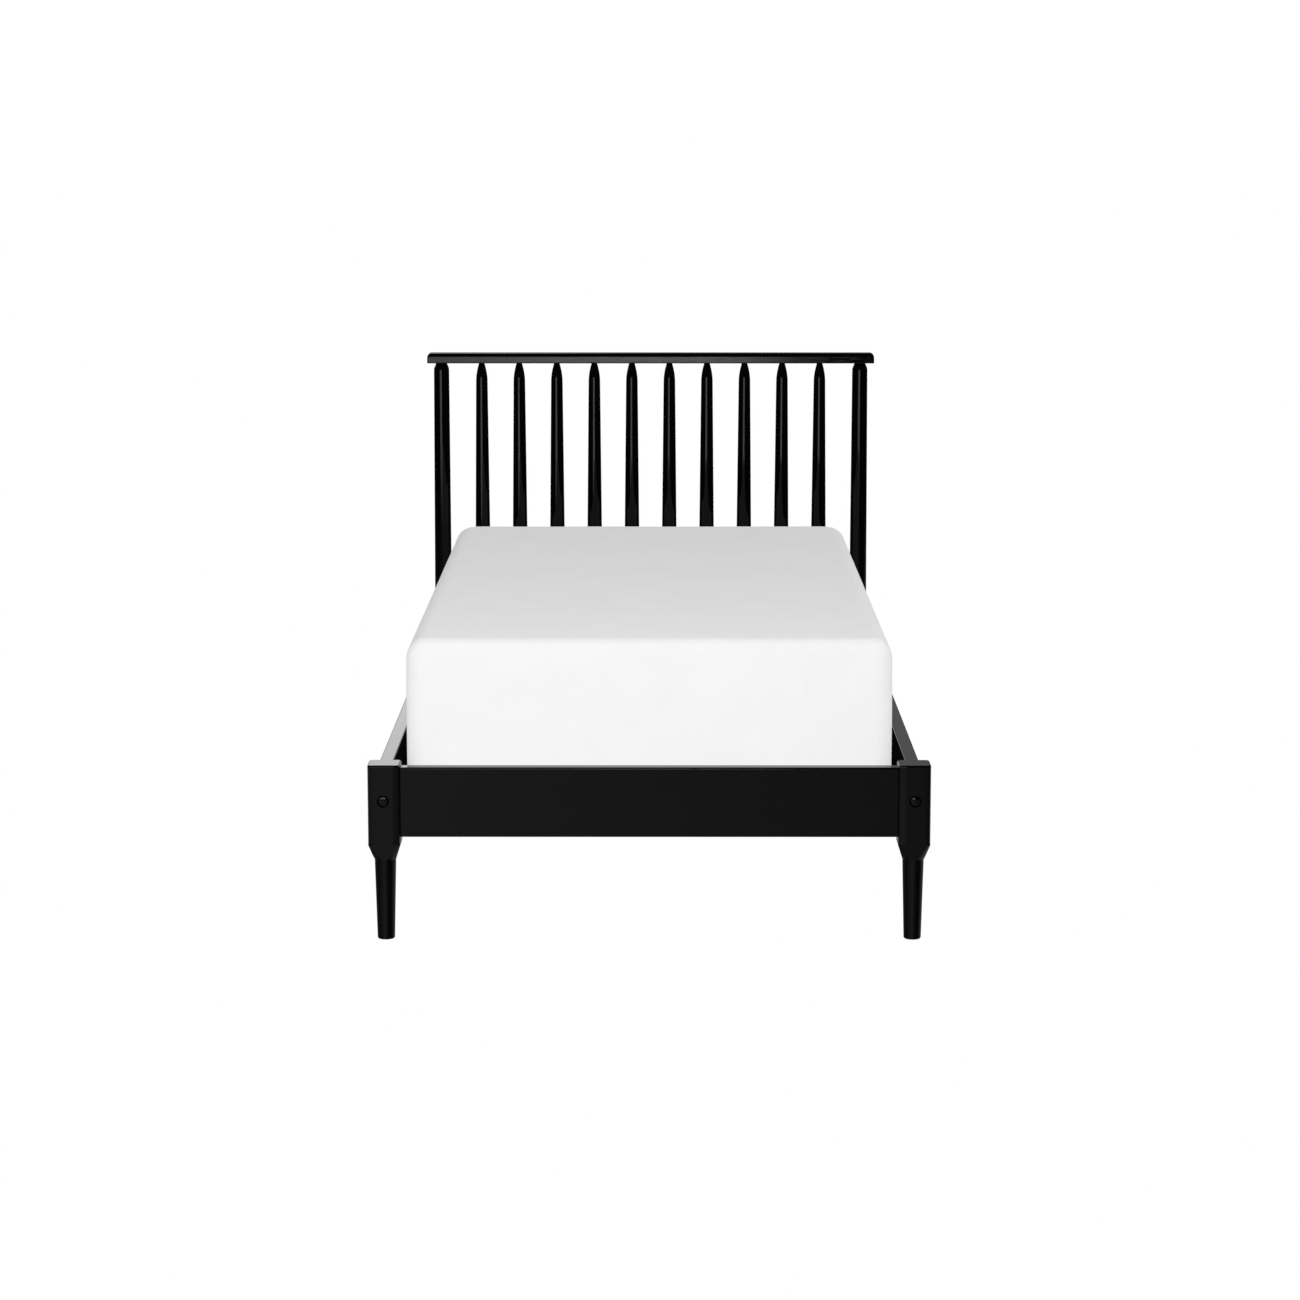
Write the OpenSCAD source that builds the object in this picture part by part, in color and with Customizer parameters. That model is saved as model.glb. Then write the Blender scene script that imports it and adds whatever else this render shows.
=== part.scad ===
// Single bed: spindle headboard, low footboard, side rails, slatted base and
// mattress. Millimetres. X runs across the bed, +Y towards the headboard, +Z up.
// The origin is on the floor, under the middle of the bed.

/* [Overall] */
// Distance across the bed between the post centres
post_pitch_x = 1043; // [1038:1:1080]
// Distance along the bed between the post centres
post_pitch_y = 1980; // [1976:1:2040]
// Height of the top of the headboard above the floor
headboard_h = 1016; // [980:1:1060]

/* [Posts and legs] */
// Width of the square block on each post
block_w = 64; // [60:1:66]
// Radius on the upright edges of the block
block_r = 6.5; // [4:0.5:8]
// Radius on the top edges of the front blocks
block_top_r = 3; // [1:0.5:4]
// Height of the block's lower end above the floor
block_z0 = 194.5; // [186:0.5:198]
// Height of the block's upper end above the floor
block_z1 = 353.5; // [350:0.5:362]
// Height of each chamfer shoulder between block and turning
shoulder_h = 34; // [26:1:40]
// Radius of the leg under the shoulder
shank_r_top = 21.2; // [18:0.05:24]
// Radius of the leg at the floor
shank_r_floor = 17.2; // [15:0.05:20]
// Radius of the head post just above its upper shoulder
post_r_low = 21.25; // [19:0.05:24]
// Radius of the head post under the crest rail
post_r_top = 18.9; // [16:0.05:20]

/* [Rails] */
// Height of the lower edge of the side, foot and lower head rails
rail_z0 = 207.5; // [202:0.5:210]
// Height of the upper edge of the side, foot and lower head rails
rail_z1 = 347; // [340:0.5:348]
// Thickness of these rails
rail_t = 28; // [26:1:30]
// Distance from the leg's front face back to the foot rail's face
foot_rail_inset = 14; // [10:1:18]
// Distance from the leg's outer face in to the side rail's face
side_rail_inset = 18.5; // [12:0.5:20]
// Radius on the rails' long edges
rail_edge_r = 2.5; // [1:0.5:4]

/* [Crest rail] */
// Length of the crest rail
crest_l = 1112; // [1104:1:1130]
// Depth of the crest rail, front to back
crest_d = 45; // [42:1:50]
// Thickness of the crest rail
crest_t = 25; // [22:1:28]
// Radius on the crest rail's upper edges
crest_r = 9; // [5:0.5:10]

/* [Spindles] */
// Number of spindles
spindle_n = 10; // [10:1:10]
// Distance between spindle centres
spindle_pitch = 93.6; // [90:0.1:94]
// Radius of a spindle at its upper shoulder
spindle_r_top = 14.4; // [12:0.1:16]
// Growth of the radius for each millimetre down the long taper
spindle_taper = 0.01; // [0.005:0.001:0.011]
// Radius of a spindle where it meets the rails
spindle_r_end = 6.6; // [6.3:0.1:8]
// Length of the upper rounded nose
spindle_nose = 47; // [40:1:60]
// Length of the lower rounded end
spindle_foot = 156; // [120:1:170]

/* [Mattress] */
// Width of the mattress
mattress_w = 965; // [940:1:968]
// Length of the mattress
mattress_l = 1905; // [1880:1:1908]
// Thickness of the mattress
mattress_h = 307; // [200:1:320]
// Distance from the foot rail's inner face to the mattress
mattress_gap = 33; // [24:1:36]
// Radius on the mattress's upper and lower edges
mattress_edge_r = 36; // [25:1:50]
// Radius on the mattress's upright corners
mattress_corner_r = 60; // [52:1:80]
// Thickness of the knitted cover
cover_t = 2.5; // [2:0.1:4]
// Wall thickness of the hollow foam core
core_t = 11; // [8:0.5:16]

/* [Base] */
// Number of slats
slat_n = 14; // [14:1:14]
// Distance between slat centres
slat_pitch = 136; // [130:1:138]
// Width of a slat
slat_w = 70; // [60:1:80]
// Thickness of a slat
slat_t = 18; // [16:1:22]
// Length of a slat
slat_l = 968; // [956:1:980]
// Height of the slats' upper faces above the floor
slat_top = 281.5; // [278:0.5:286]
// Width of a ledger under the slat ends
ledger_w = 45; // [40:1:48]
// Height of a ledger
ledger_h = 32; // [28:1:36]
// Width of the centre support rail
centre_rail_w = 40; // [36:1:44]
// Height of the centre support rail
centre_rail_h = 52; // [48:1:52]
// Position of the centre leg along the bed
centre_leg_y = 30; // [-20:1:100]

/* [Hardware] */
// Height of the corner bolts above the floor
bolt_z = 281.5; // [276:0.5:284]
// Distance of the corner bolts from the bed's centre line
bolt_x = 523; // [518:0.5:526]
// Radius of the round recess around each bolt cap
cap_recess_r = 11.75; // [11:0.25:13]
// Radius of the bolt cap
cap_r = 9.3; // [8.5:0.1:10.5]
// Travel of the screwed foot under the centre leg
foot_travel = 15; // [5:1:20]

/* [Hidden] */
$fn = 48;

px = post_pitch_x / 2;
py = post_pitch_y / 2;
hb = block_w / 2;
rail_h = rail_z1 - rail_z0;
rail_zm = (rail_z0 + rail_z1) / 2;
inner_x = px - hb;                        // inner faces of the blocks
inner_y = py - hb;
side_out = px + hb - side_rail_inset;     // outer face of a side rail
side_in = side_out - rail_t;
side_mid = (side_out + side_in) / 2;
foot_front = -py - hb + foot_rail_inset;  // front face of the foot rail
foot_back = foot_front + rail_t;
head_front = py - rail_t / 2;             // front face of the lower head rail
crest_z0 = headboard_h - crest_t;
top_shoulder_z = block_z1 + shoulder_h;
slat_z0 = slat_top - slat_t;
ledger_z0 = slat_z0 - ledger_h;
ledger_mid = side_in - ledger_w / 2;
slat_screw_x = (slat_l / 2 + side_in - ledger_w) / 2;
centre_z0 = slat_z0 - centre_rail_h;
mattress_y = foot_back + mattress_gap + mattress_l / 2;

// corner bolt, measured in from the block's outer face
recess_d = 5;
head_pocket_d = 15;
head_pocket_r = 8.2;
bolt_l = 100;
nut_in = 40;                              // barrel nut, in from the rail's end

dowel_r = 5;
dowel_l = 56;
dowel_dz = 40;                            // side rail dowels, from the bolt
end_dowel_dz = 50;                        // foot and head rail dowels, from mid height
fit = 0.1;                                // radial play of a fixed pin in its hole

leg_bottom = 1.5;
glide_r = 15.8;
glide_t = 1.5;

bracket_t = 2.5;
bracket_l = 42;
bracket_z1 = 252.5;
bracket_hole_x = 35;
bracket_hole_z = [219.5, 242.5];

screw_y = [-850, -510, -170, 170, 510, 850];
ledger_screw_z = ledger_z0 + ledger_h / 2;

strap_x = 330;
strap_w = 25;
strap_t = 1.2;

foot_pad_r = 16;
insert_flange_z = 12.2 + foot_travel;
centre_leg_z0 = insert_flange_z + 2;

paint = "#141416";
pine = "#d8ba8c";
beech = "#c9a06c";
steel = "#b8bcc0";
nylon = "#2c2c2e";
webbing = "#8f8a80";
ticking = "#f4f4f2";
foam = "#efe9c8";

// ---- helpers -------------------------------------------------------------

// square outline with round corners
module round_rect(w, h, r) {
  square([w - 2 * r, h], center = true);
  square([w, h - 2 * r], center = true);
  for (sx = [-1, 1], sy = [-1, 1])
    translate([sx * (w / 2 - r), sy * (h / 2 - r)]) circle(r);
}

// straight bar along X from x0 to x1, section w (Y) by h (Z), centred on y, z
module bar_x(x0, x1, y, z, w, h, r) {
  translate([x0, y, z]) rotate([90, 0, 90]) linear_extrude(x1 - x0) round_rect(w, h, r);
}

// straight bar along Y from y0 to y1, section w (X) by h (Z), centred on x, z
module bar_y(y0, y1, x, z, w, h, r) {
  translate([x, y1, z]) rotate([90, 0, 0]) linear_extrude(y1 - y0) round_rect(w, h, r);
}

// round rod along X, Y or Z from a start point
module rod_x(x0, x1, y, z, r) { translate([x0, y, z]) rotate([0, 90, 0]) cylinder(h = x1 - x0, r = r); }
module rod_y(y0, y1, x, z, r) { translate([x, y0, z]) rotate([-90, 0, 0]) cylinder(h = y1 - y0, r = r); }
module rod_z(z0, z1, x, y, r) { translate([x, y, z0]) cylinder(h = z1 - z0, r = r); }

// side outline of a block between its shoulders, drawn in X and Z
module block_outline(low_r, high_r) {
  polygon([
    [-low_r, block_z0 - shoulder_h], [low_r, block_z0 - shoulder_h],
    [hb, block_z0], [hb, block_z1 - (high_r == 0 ? block_top_r : 0)],
    [-hb, block_z1 - (high_r == 0 ? block_top_r : 0)], [-hb, block_z0]
  ]);
  if (high_r == 0) {
    translate([-hb + block_top_r, block_z1 - block_top_r - 1])
      square([block_w - 2 * block_top_r, block_top_r + 1]);
    for (s = [-1, 1])
      translate([s * (hb - block_top_r), block_z1 - block_top_r]) circle(block_top_r);
  } else {
    polygon([[-hb, block_z1 - 1], [hb, block_z1 - 1], [hb, block_z1], [high_r, top_shoulder_z],
             [-high_r, top_shoulder_z], [-hb, block_z1]]);
  }
}

// cone that rounds the corners of a shoulder away
corner_r = hb * sqrt(2) - (sqrt(2) - 1) * block_r;

// block with its shoulders: two crossing outlines, round upright edges, cones
module post_block(high_r) {
  top = high_r == 0 ? block_z1 : top_shoulder_z;
  intersection() {
    rotate([90, 0, 0]) translate([0, 0, -hb - 1]) linear_extrude(block_w + 2) block_outline(shank_r_top, high_r);
    rotate([90, 0, 90]) translate([0, 0, -hb - 1]) linear_extrude(block_w + 2) block_outline(shank_r_top, high_r);
    linear_extrude(top + 1) round_rect(block_w, block_w, block_r);
    rotate_extrude($fn = 64) polygon(high_r == 0
      ? [[0, block_z0 - shoulder_h - 1], [shank_r_top, block_z0 - shoulder_h - 1],
         [shank_r_top, block_z0 - shoulder_h], [corner_r, block_z0], [corner_r, block_z1 + 1], [0, block_z1 + 1]]
      : [[0, block_z0 - shoulder_h - 1], [shank_r_top, block_z0 - shoulder_h - 1],
         [shank_r_top, block_z0 - shoulder_h], [corner_r, block_z0], [corner_r, block_z1],
         [high_r, top_shoulder_z], [high_r, top_shoulder_z + 1], [0, top_shoulder_z + 1]]);
  }
}

// turned leg under the block, its toe slightly eased
module shank() {
  rotate_extrude($fn = 64) polygon([
    [0, leg_bottom], [shank_r_floor - 0.8, leg_bottom], [shank_r_floor - 0.25, leg_bottom + 0.4],
    [shank_r_floor, leg_bottom + 1.2], [shank_r_top, block_z0 - shoulder_h], [0, block_z0 - shoulder_h]
  ]);
}

// hole for the glide's nail under a leg
module glide_seat() {
  translate([0, 0, leg_bottom - 1]) cylinder(h = 18, r = 1.6);
}

// holes of the corner bolt in a block, from the face at +Y inwards, at x
module bolt_holes(x) {
  translate([x, hb + 1, bolt_z]) rotate([90, 0, 0]) {
    cylinder(h = recess_d + 1, r = cap_recess_r);
    cylinder(h = head_pocket_d + 1, r = head_pocket_r);
    cylinder(h = block_w + 2, r = 4.3);
  }
}

// every hole in a corner block; the bed's outside lies at +Y, its side at side * X
module block_holes(side, end_rail_y) {
  bolt_holes(side * (bolt_x - px));
  // dowels into the side rail
  for (s = [-1, 1])
    rod_y(-hb - 1, -hb + dowel_l / 2 + 1, side * (side_mid - px), bolt_z + s * dowel_dz, dowel_r + fit);
  // dowels into the end rail
  for (s = [-1, 1])
    if (side < 0) rod_x(hb - dowel_l / 2 - 1, hb + 1, end_rail_y, rail_zm + s * end_dowel_dz, dowel_r + fit);
    else rod_x(-hb - 1, -hb + dowel_l / 2 + 1, end_rail_y, rail_zm + s * end_dowel_dz, dowel_r + fit);
}

// ---- headboard -----------------------------------------------------------

module headboard_post(side) {
  color(paint) translate([side * px, py, 0]) difference() {
    union() {
      shank();
      post_block(post_r_low);
      rotate_extrude($fn = 64) polygon([
        [0, top_shoulder_z], [post_r_low, top_shoulder_z], [post_r_top, crest_z0 - 17],
        [post_r_top - 0.5, crest_z0 - 13], [post_r_top - 1.6, crest_z0 - 9.5],
        [post_r_top - 3.3, crest_z0 - 6], [post_r_top - 4.6, crest_z0 - 3],
        [post_r_top - 5.1, crest_z0], [10, crest_z0], [10, crest_z0 + 14], [0, crest_z0 + 14]
      ]);
    }
    glide_seat();
    block_holes(side, 0);
  }
}
module headboard_post_left() headboard_post(-1);
module headboard_post_right() headboard_post(1);

function spindle_x(i) = (i - (spindle_n + 1) / 2) * spindle_pitch;

module crest_rail() {
  color(paint) difference() {
    intersection() {
      // section: round upper edges, slightly eased lower edges
      translate([-crest_l / 2, py, crest_z0]) rotate([90, 0, 90]) linear_extrude(crest_l)
        crest_outline(crest_d, crest_r);
      // front view: round upper corners
      translate([0, py + crest_d / 2, crest_z0]) rotate([90, 0, 0]) linear_extrude(crest_d)
        crest_outline(crest_l, crest_r + 0.7);
    }
    for (i = [1 : spindle_n]) rod_z(crest_z0 - 1, crest_z0 + 12.5, spindle_x(i), py, 6 + fit);
    for (s = [-1, 1]) rod_z(crest_z0 - 1, crest_z0 + 14.5, s * px, py, 10 + fit);
  }
}

// outline of width w on the base line, with upper corners of radius r
module crest_outline(w, r) {
  e = 1.5;
  translate([-w / 2, e]) square([w, crest_t - r - e]);
  translate([-w / 2 + r, e]) square([w - 2 * r, crest_t - e]);
  translate([-w / 2 + e, 0]) square([w - 2 * e, crest_t - r]);
  for (s = [-1, 1]) {
    translate([s * (w / 2 - r), crest_t - r]) circle(r);
    translate([s * (w / 2 - e), e]) circle(e);
  }
}

module headboard_lower_rail() {
  color(paint) difference() {
    bar_x(-inner_x, inner_x, py, rail_zm, rail_t, rail_h, rail_edge_r);
    for (i = [1 : spindle_n]) rod_z(rail_z1 - 20.5, rail_z1 + 1, spindle_x(i), py, 6 + fit);
    end_rail_dowel_holes(py);
    bracket_screw_holes(head_front, 1);
  }
}

// dowel holes in both ends of the foot rail or the lower head rail
module end_rail_dowel_holes(y) {
  for (s = [-1, 1], z = [-1, 1])
    rod_x(s < 0 ? -inner_x - 1 : inner_x - dowel_l / 2 - 1, s < 0 ? -inner_x + dowel_l / 2 + 1 : inner_x + 1,
          y, rail_zm + z * end_dowel_dz, dowel_r + fit);
}

// pilot holes for the bracket screws, from the face at y in direction dir
module bracket_screw_holes(y, dir) {
  for (s = [-1, 1], z = bracket_hole_z)
    rod_y(dir > 0 ? y - 1 : y - 18.5, dir > 0 ? y + 18.5 : y + 1, s * bracket_hole_x, z, 1.9 + fit);
}

// ---- spindles ------------------------------------------------------------

// radius of a spindle at height z
spindle_z1 = crest_z0 - spindle_nose;     // upper shoulder
spindle_z0 = rail_z1 + spindle_foot;      // belly
spindle_r_belly = spindle_r_top + spindle_taper * (spindle_z1 - spindle_z0);
function spindle_r(z) =
  z > spindle_z1 ? spindle_r_top - (spindle_r_top - spindle_r_end) * pow((z - spindle_z1) / spindle_nose, 1.9) :
  z > spindle_z0 ? spindle_r_top + spindle_taper * (spindle_z1 - z) :
  spindle_r_belly - (spindle_r_belly - spindle_r_end) * pow((spindle_z0 - z) / spindle_foot, 2.2);

module spindle(i) {
  color(paint) translate([spindle_x(i), py, 0]) rotate_extrude() polygon(concat(
    [[0, rail_z1 - 20], [6, rail_z1 - 20], [6, rail_z1]],
    [for (k = [0 : 10]) let (z = rail_z1 + spindle_foot * k / 10) [spindle_r(z), z]],
    [for (k = [0 : 9]) let (z = spindle_z1 + spindle_nose * k / 9) [spindle_r(z), z]],
    [[6, crest_z0], [6, crest_z0 + 12], [0, crest_z0 + 12]]
  ));
}
module spindle_01() spindle(1);
module spindle_02() spindle(2);
module spindle_03() spindle(3);
module spindle_04() spindle(4);
module spindle_05() spindle(5);
module spindle_06() spindle(6);
module spindle_07() spindle(7);
module spindle_08() spindle(8);
module spindle_09() spindle(9);
module spindle_10() spindle(10);

// ---- footboard -----------------------------------------------------------

module footboard_leg(side) {
  // the block's holes are drawn for a leg whose outside is at +Y, then turned
  color(paint) translate([side * px, -py, 0]) mirror([0, 1, 0]) difference() {
    union() {
      shank();
      post_block(0);
    }
    glide_seat();
    block_holes(side, -(foot_front + rail_t / 2) - py);
  }
}
module footboard_leg_left() footboard_leg(-1);
module footboard_leg_right() footboard_leg(1);

module footboard_rail() {
  color(paint) difference() {
    bar_x(-inner_x, inner_x, foot_front + rail_t / 2, rail_zm, rail_t, rail_h, rail_edge_r);
    end_rail_dowel_holes(foot_front + rail_t / 2);
    bracket_screw_holes(foot_back, -1);
  }
}

// ---- side rails and ledgers ----------------------------------------------

module side_rail(side) {
  color(paint) difference() {
    bar_y(-inner_y, inner_y, side * side_mid, rail_zm, rail_t, rail_h, rail_edge_r);
    for (e = [-1, 1]) {
      // bolt hole in the end, and the barrel nut's hole from the inner face
      rod_y(e < 0 ? -inner_y - 1 : inner_y - 62, e < 0 ? -inner_y + 62 : inner_y + 1, side * bolt_x, bolt_z, 4.3);
      rod_x(side < 0 ? -side_in - 25 : side_in - 1, side < 0 ? -side_in + 1 : side_in + 25,
            e * (inner_y - nut_in), bolt_z, 6 + fit);
      for (s = [-1, 1])
        rod_y(e < 0 ? -inner_y - 1 : inner_y - dowel_l / 2 - 1, e < 0 ? -inner_y + dowel_l / 2 + 1 : inner_y + 1,
              side * side_mid, bolt_z + s * dowel_dz, dowel_r + fit);
    }
    for (y = screw_y)
      rod_x(side < 0 ? -side_in - 18.5 : side_in - 1, side < 0 ? -side_in + 1 : side_in + 18.5,
            y, ledger_screw_z, 2.2 + fit);
  }
}
module side_rail_left() side_rail(-1);
module side_rail_right() side_rail(1);

module slat_ledger(side) {
  color(paint) difference() {
    bar_y(-inner_y + 18, inner_y - 18, side * ledger_mid, ledger_z0 + ledger_h / 2, ledger_w, ledger_h, 1.5);
    for (y = screw_y) translate([side * (side_in - ledger_w), y, ledger_screw_z]) rotate([0, side * 90, 0]) {
      translate([0, 0, -1]) cylinder(h = ledger_w + 2, r = 2.2 + fit);
      translate([0, 0, -0.01]) cylinder(h = 2.6, r1 = 4.6, r2 = 2.3);
    }
    for (y = [slat_y(1), slat_y(slat_n)]) rod_z(slat_z0 - 20.5, slat_z0 + 1, side * slat_screw_x, y, 2 + fit);
  }
}
module slat_ledger_left() slat_ledger(-1);
module slat_ledger_right() slat_ledger(1);

// ---- slats ---------------------------------------------------------------

function slat_y(i) = (i - (slat_n + 1) / 2) * slat_pitch;

module slat(i) {
  color(pine) difference() {
    bar_x(-slat_l / 2, slat_l / 2, slat_y(i), slat_z0 + slat_t / 2, slat_w, slat_t, 2);
    if (i == 1 || i == slat_n) for (s = [-1, 1]) translate([s * slat_screw_x, slat_y(i), slat_z0]) {
      translate([0, 0, -1]) cylinder(h = slat_t + 2, r = 2 + fit);
      translate([0, 0, slat_t - 2.4]) cylinder(h = 2.41, r1 = 2.1, r2 = 4.3);
    }
  }
}
module slat_01() slat(1);
module slat_02() slat(2);
module slat_03() slat(3);
module slat_04() slat(4);
module slat_05() slat(5);
module slat_06() slat(6);
module slat_07() slat(7);
module slat_08() slat(8);
module slat_09() slat(9);
module slat_10() slat(10);
module slat_11() slat(11);
module slat_12() slat(12);
module slat_13() slat(13);
module slat_14() slat(14);

// webbing under the slats that keeps their spacing
module slat_strap(side) {
  color(webbing) translate([side * strap_x - strap_w / 2, slat_y(1) - slat_w / 2, slat_z0 - strap_t])
    cube([strap_w, slat_y(slat_n) - slat_y(1) + slat_w, strap_t]);
}
module slat_strap_left() slat_strap(-1);
module slat_strap_right() slat_strap(1);

// ---- centre support ------------------------------------------------------

module centre_support_rail() {
  color(pine) difference() {
    bar_y(foot_back + bracket_t + 2.5, head_front - bracket_t - 2.5, 0, centre_z0 + centre_rail_h / 2,
          centre_rail_w, centre_rail_h, 2);
    rod_z(centre_z0 - 1, centre_z0 + 40.5, 0, centre_leg_y, 4 + fit);
  }
}

// folded sheet stirrup; its back plate lies on the face at y, its tray points in direction dir
module support_bracket(y, dir) {
  hw = centre_rail_w / 2 + 0.2;
  color(steel) translate([0, y, 0]) difference() {
    union() {
      translate([-46, dir > 0 ? 0 : -bracket_t, centre_z0 - bracket_t])
        cube([92, bracket_t, bracket_z1 - centre_z0 + bracket_t]);
      translate([-hw - bracket_t, dir > 0 ? 0 : -bracket_l, centre_z0 - bracket_t])
        cube([2 * (hw + bracket_t), bracket_l, bracket_t]);
      for (s = [-1, 1]) translate([s > 0 ? hw : -hw - bracket_t, dir > 0 ? 0 : -bracket_l, centre_z0 - bracket_t])
        cube([bracket_t, bracket_l, 34]);
    }
    for (s = [-1, 1], z = bracket_hole_z) rod_y(-bracket_t - 1, bracket_t + 1, s * bracket_hole_x, z, 2.1);
  }
}
module support_bracket_head() support_bracket(head_front, -1);
module support_bracket_foot() support_bracket(foot_back, 1);

module centre_leg() {
  color(pine) translate([0, centre_leg_y, 0]) difference() {
    rotate_extrude() polygon([
      [0, centre_leg_z0], [14, centre_leg_z0], [15, centre_leg_z0 + 1], [19, centre_z0 - 1],
      [18, centre_z0], [0, centre_z0]
    ]);
    rod_z(centre_z0 - 40.5, centre_z0 + 1, 0, 0, 4 + fit);
    rod_z(centre_leg_z0 - 1, centre_leg_z0 + 20.5, 0, 0, 6 + fit);
    rod_z(centre_leg_z0 - 1, centre_leg_z0 + 62, 0, 0, 4.6);
  }
}

module centre_leg_hanger_bolt() {
  color(steel) rod_z(centre_z0 - 40, centre_z0 + 40, 0, centre_leg_y, 4);
}

module leveller_insert() {
  color(steel) translate([0, centre_leg_y, 0]) difference() {
    union() {
      rod_z(insert_flange_z, insert_flange_z + 2, 0, 0, 9);
      rod_z(insert_flange_z + 1, centre_leg_z0 + 20, 0, 0, 6);
    }
    rod_z(insert_flange_z - 1, centre_leg_z0 + 21, 0, 0, 4.08);
  }
}

// screwed foot, shown screwed out to the floor; it travels up into the leg
module leveller_pad() {
  color(nylon) translate([0, centre_leg_y, 0]) difference() {
    union() {
      rotate_extrude() polygon([
        [0, 0], [foot_pad_r - 1.5, 0], [foot_pad_r, 1.5], [foot_pad_r, 3.5], [foot_pad_r - 3, 5.5], [8, 6], [0, 6]
      ]);
      translate([0, 0, 5.5]) cylinder(h = 6.5, r = 7.5, $fn = 6);
    }
    rod_z(3, 13, 0, 0, 4);
  }
}

module leveller_stem() {
  color(steel) rod_z(3, 58, 0, centre_leg_y, 4);
}

// ---- hardware ------------------------------------------------------------

module leg_glides() {
  color(nylon) for (sx = [-1, 1], sy = [-1, 1]) translate([sx * px, sy * py, 0]) {
    rotate_extrude() polygon([[0, 0], [glide_r - 0.4, 0], [glide_r, 0.4], [glide_r, glide_t], [0, glide_t]]);
    rod_z(glide_t - 0.5, 18, 0, 0, 1.5);
  }
}

// slightly crowned cap in the recess over a corner bolt; the outside lies at end * Y
module bolt_cap(side, end) {
  color(paint) translate([side * bolt_x, end * (py + hb - recess_d), bolt_z]) rotate([-end * 90, 0, 0]) {
    translate([0, 0, -1.8]) cylinder(h = 2, r = head_pocket_r - 0.15);
    rotate_extrude($fn = 64) polygon([
      [0, 0], [cap_recess_r - 0.3, 0], [cap_recess_r - 0.3, 0.4], [cap_r + 0.05, 2.65], [cap_r, 2.9],
      [cap_r - 0.3, 3.45], [cap_r - 0.9, 3.76], [7.4, 3.93], [4.9, 4.1], [2.4, 4.2], [0, 4.24]
    ]);
  }
}
module bolt_cap_foot_left() bolt_cap(-1, -1);
module bolt_cap_foot_right() bolt_cap(1, -1);
module bolt_cap_head_left() bolt_cap(-1, 1);
module bolt_cap_head_right() bolt_cap(1, 1);

module corner_bolts() {
  color(steel) for (sx = [-1, 1], sy = [-1, 1])
    translate([sx * bolt_x, sy * (py + hb - head_pocket_d), bolt_z]) rotate([-sy * 90, 0, 0]) difference() {
      union() {
        cylinder(h = 8, r = 6.5);
        translate([0, 0, -bolt_l]) cylinder(h = bolt_l + 1, r = 4);
      }
      translate([0, 0, 4]) cylinder(h = 5, r = 3.46, $fn = 6);
    }
}

module barrel_nuts() {
  color(steel) for (sx = [-1, 1], sy = [-1, 1]) difference() {
    rod_x(sx < 0 ? -side_in - 24 : side_in + 2, sx < 0 ? -side_in - 2 : side_in + 24, sy * (inner_y - nut_in), bolt_z, 6);
    rod_y(sy * (inner_y - nut_in) - 8, sy * (inner_y - nut_in) + 8, sx * bolt_x, bolt_z, 4.1);
  }
}

module rail_dowels() {
  color(beech) {
    for (sx = [-1, 1], e = [-1, 1], s = [-1, 1])
      rod_y(e * inner_y - dowel_l / 2, e * inner_y + dowel_l / 2, sx * side_mid, bolt_z + s * dowel_dz, dowel_r);
    for (sx = [-1, 1], y = [foot_front + rail_t / 2, py], s = [-1, 1])
      rod_x(sx * inner_x - dowel_l / 2, sx * inner_x + dowel_l / 2, y, rail_zm + s * end_dowel_dz, dowel_r);
  }
}

// countersunk screw pointing along +Z, its head flush at the origin
module countersunk(l, r, head_r, head_h) {
  difference() {
    rotate_extrude() polygon([[0, 0], [head_r, 0], [r, head_h], [r, l - 4], [0.4, l], [0, l]]);
    translate([0, 0, -0.5]) cylinder(h = 1.7, r = 1.6, $fn = 6);
  }
}

module ledger_screws() {
  color(steel) for (s = [-1, 1], y = screw_y)
    translate([s * (side_in - ledger_w), y, ledger_screw_z]) rotate([0, s * 90, 0]) countersunk(ledger_w + 18, 2.2, 4.4, 2.4);
}

module slat_screws() {
  color(steel) for (s = [-1, 1], i = [1, slat_n])
    translate([s * slat_screw_x, slat_y(i), slat_top]) rotate([180, 0, 0]) countersunk(38, 2, 4, 2.2);
}

// pan-head screw pointing along +Z from under its head at the origin
module pan_head(l, r) {
  difference() {
    rotate_extrude() polygon([[0, -2.4], [2.4, -2.4], [3.5, -1], [3.5, 0], [r, 0], [r, l - 3], [0.4, l], [0, l]]);
    translate([0, 0, -3]) cylinder(h = 1.8, r = 1.4, $fn = 6);
  }
}

module bracket_screws() {
  color(steel) for (s = [-1, 1], z = bracket_hole_z) {
    translate([s * bracket_hole_x, head_front - bracket_t, z]) rotate([-90, 0, 0]) pan_head(20, 1.9);
    translate([s * bracket_hole_x, foot_back + bracket_t, z]) rotate([90, 0, 0]) pan_head(20, 1.9);
  }
}

// ---- mattress ------------------------------------------------------------

// closed soft block; inset moves every face in by the same amount
module mattress_form(inset) {
  r = mattress_corner_r - inset;
  e = mattress_edge_r - inset;
  w = mattress_w / 2 - mattress_corner_r;
  l = mattress_l / 2 - mattress_corner_r;
  h = mattress_h - 2 * inset;
  translate([0, mattress_y, slat_top + inset]) hull() for (sx = [-1, 1], sy = [-1, 1])
    translate([sx * w, sy * l, 0]) rotate_extrude($fn = 32) polygon(concat(
      [[0, 0]],
      [for (k = [0 : 6]) [r - e + e * sin(k * 15), e - e * cos(k * 15)]],
      [for (k = [0 : 6]) [r - e + e * cos(k * 15), h - e + e * sin(k * 15)]],
      [[0, h]]
    ));
}

module mattress_cover() {
  color(ticking) difference() {
    mattress_form(0);
    mattress_form(cover_t);
  }
}

module mattress_foam_core() {
  color(foam) difference() {
    mattress_form(cover_t);
    mattress_form(cover_t + core_t);
  }
}

// ---- assembly ------------------------------------------------------------

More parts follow.
